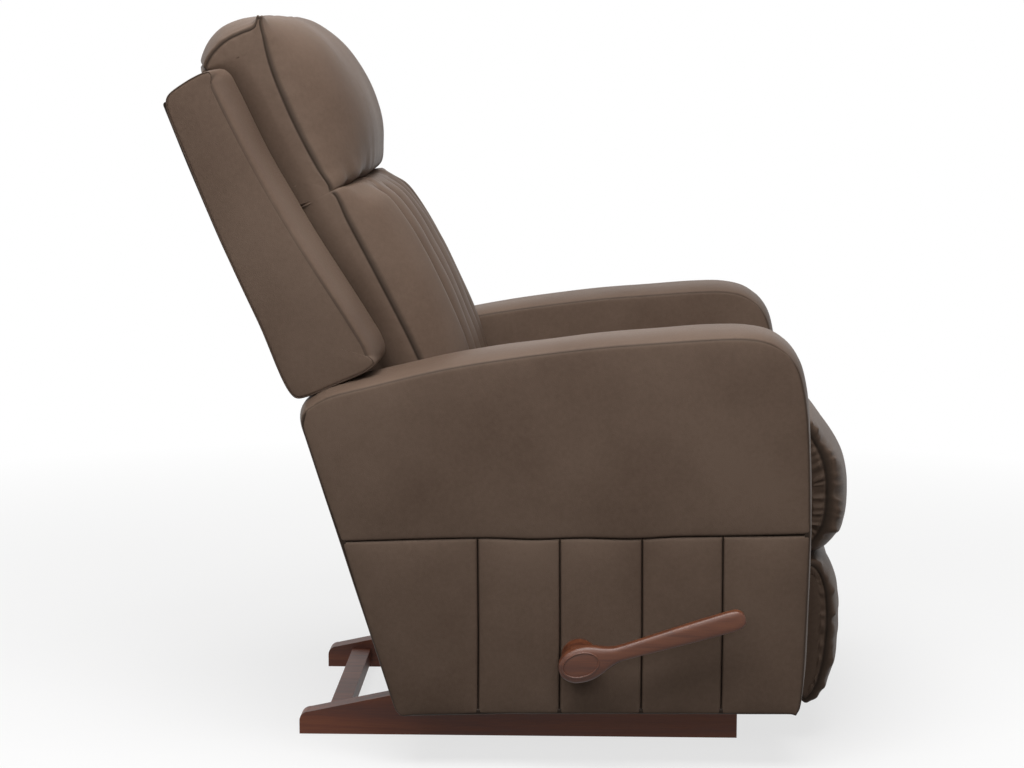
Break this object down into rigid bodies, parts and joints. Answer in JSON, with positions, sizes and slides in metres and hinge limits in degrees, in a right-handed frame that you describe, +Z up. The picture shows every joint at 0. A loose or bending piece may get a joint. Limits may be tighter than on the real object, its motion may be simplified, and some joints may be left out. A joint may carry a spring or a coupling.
{
  "type": "rocker recliner armchair",
  "caption": "Leather rocker recliner: padded arms on a rocking frame over dark wooden rails, a tilting back, and a folding leg rest opened by a wooden side lever.",
  "frame": {"origin": "on the floor under the centre of the chair's bounding box", "axes": "+X is the way the sitter faces, +Y is to the sitter's left, +Z is up"},
  "size_m": [0.971, 0.852, 1.0683],
  "materials": {
    "leather": "satin",
    "stained_hardwood": "satin",
    "frame_wood": "matte",
    "black_steel": "satin",
    "bright_steel": "satin"
  },
  "bodies": {
    "base": {"base_rail_left": "stained_hardwood", "base_rail_right": "stained_hardwood", "rail_track_left": "black_steel", "rail_track_right": "black_steel", "spring_bracket_lower_left": "black_steel", "spring_bracket_lower_right": "black_steel", "rocker_springs_left": "bright_steel", "rocker_springs_right": "bright_steel", "base_front_crossmember": "stained_hardwood", "base_rear_crossmember": "stained_hardwood", "base_bolts": "bright_steel"},
    "frame": {"rocker_cam_left": "frame_wood", "rocker_cam_right": "frame_wood", "side_plate_left": "black_steel", "side_plate_right": "black_steel", "spring_bracket_upper_left": "black_steel", "spring_bracket_upper_right": "black_steel", "arm_frame_left": "frame_wood", "arm_frame_right": "frame_wood", "arm_outer_panel_left": "leather", "arm_outer_panel_right": "leather", "arm_inner_panel_left": "leather", "arm_inner_panel_right": "leather", "arm_pad_left": "leather", "arm_pad_right": "leather", "seat_track_left": "black_steel", "seat_track_right": "black_steel", "front_cross_tube": "black_steel", "rear_cross_tube": "black_steel", "rear_panel": "leather", "frame_bolts": "bright_steel"},
    "seat": {"seat_frame": "frame_wood", "seat_springs": "bright_steel", "seat_cushion": "leather", "pivot_pins": "bright_steel", "hinge_plate_left": "black_steel", "hinge_plate_right": "black_steel"},
    "back": {"back_frame": "frame_wood", "back_springs": "bright_steel", "back_shell": "leather", "back_cushion": "leather", "head_pillow": "leather", "back_bracket_left": "black_steel", "back_bracket_right": "black_steel"},
    "front_links": {"front_link_left": "black_steel", "front_link_right": "black_steel"},
    "middle_links": {"middle_link_left": "black_steel", "middle_link_right": "black_steel"},
    "guide_links": {"guide_link_left": "black_steel", "guide_link_right": "black_steel"},
    "footrest": {"footrest_bracket_left": "black_steel", "footrest_bracket_right": "black_steel", "footrest_board": "frame_wood", "footrest_pad": "leather"},
    "drive": {"drive_rod": "bright_steel", "drive_cranks": "black_steel", "lever": "stained_hardwood", "lever_boss": "stained_hardwood", "lever_cap": "stained_hardwood"},
    "drive_links": {"drive_links": "black_steel"}
  },
  "joints": [
    {"name": "rock", "type": "hinge", "parent": "base", "child": "frame", "pos_m": [0, 0.031, 0.4], "axis": [0, -1, 0], "range_deg": [-7, 7], "stiffness_Nm_per_rad": 520, "deforming": ["rocker_springs_left", "rocker_springs_right"]},
    {"name": "seat_slide", "type": "slide", "parent": "frame", "child": "seat", "axis": [1, 0, 0], "range_m": [0, 0.051]},
    {"name": "recline", "type": "hinge", "parent": "seat", "child": "back", "pos_m": [-0.2, 0.031, 0.3], "axis": [0, -1, 0], "range_deg": [0, 30]},
    {"name": "legrest", "type": "hinge", "parent": "frame", "child": "front_links", "pos_m": [0.33, 0.031, 0.275], "axis": [0, -1, 0], "range_deg": [0, 98]},
    {"name": "middle_link_pivot", "type": "hinge", "parent": "front_links", "child": "middle_links", "pos_m": [0.30706, 0.031, 0.11261], "axis": [0, -1, 0], "range_deg": [-125, 0]},
    {"name": "guide_link_pivot", "type": "hinge", "parent": "front_links", "child": "guide_links", "pos_m": [0.30535, 0.031, 0.08251], "axis": [0, -1, 0], "range_deg": [-125, 0]},
    {"name": "footrest_pivot", "type": "hinge", "parent": "middle_links", "child": "footrest", "pos_m": [0.38691, 0.031, 0.23353], "axis": [0, -1, 0], "range_deg": [0, 113]},
    {"name": "lever_turn", "type": "hinge", "parent": "frame", "child": "drive", "pos_m": [0.096, 0.031, 0.17], "axis": [0, -1, 0], "range_deg": [0, 99]},
    {"name": "drive_link_pivot", "type": "hinge", "parent": "drive", "child": "drive_links", "pos_m": [0.11206, 0.031, 0.20444], "axis": [0, -1, 0], "range_deg": [-99, 0]}
  ],
  "couplings": [
    {"joint": "seat_slide", "follows": "recline", "m_per_rad": 0.0955},
    {"joint": "middle_link_pivot", "follows": "legrest", "ratio": -1.2527},
    {"joint": "guide_link_pivot", "follows": "legrest", "ratio": -1.2519},
    {"joint": "footrest_pivot", "follows": "legrest", "ratio": 1.1293},
    {"joint": "lever_turn", "follows": "legrest", "ratio": 1},
    {"joint": "drive_link_pivot", "follows": "legrest", "ratio": -1}
  ]
}
